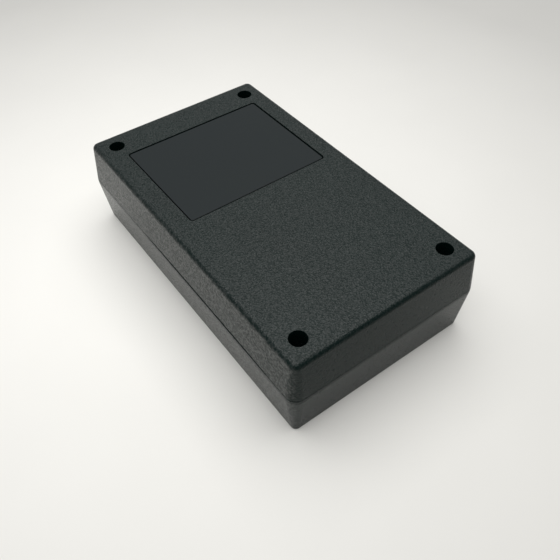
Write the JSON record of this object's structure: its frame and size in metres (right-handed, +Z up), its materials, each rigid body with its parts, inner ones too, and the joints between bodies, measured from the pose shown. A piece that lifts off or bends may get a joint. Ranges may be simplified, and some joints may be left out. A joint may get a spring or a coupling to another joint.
{
  "type": "plastic project box",
  "caption": "Hand-held moulded plastic enclosure for electronics: two drafted shells on a tongue-and-groove rim, deep screw towers, inset plate.",
  "frame": {"origin": "middle of the flat front face, which the box lies on", "axes": "+X across the box, +Y along it towards the end with the inset plate, +Z up through the back face with the screw holes"},
  "size_m": [0.0824, 0.1428, 0.0381],
  "materials": {
    "front_plastic": "fine spark-eroded grain",
    "back_plastic": "fine spark-eroded grain",
    "plate_plastic": "smooth satin",
    "screw_steel": "black oxide"
  },
  "bodies": {
    "root": {"front_shell": "front_plastic", "back_shell": "back_plastic", "label_plate": "plate_plastic", "case_screws": "screw_steel"}
  },
  "joints": []
}
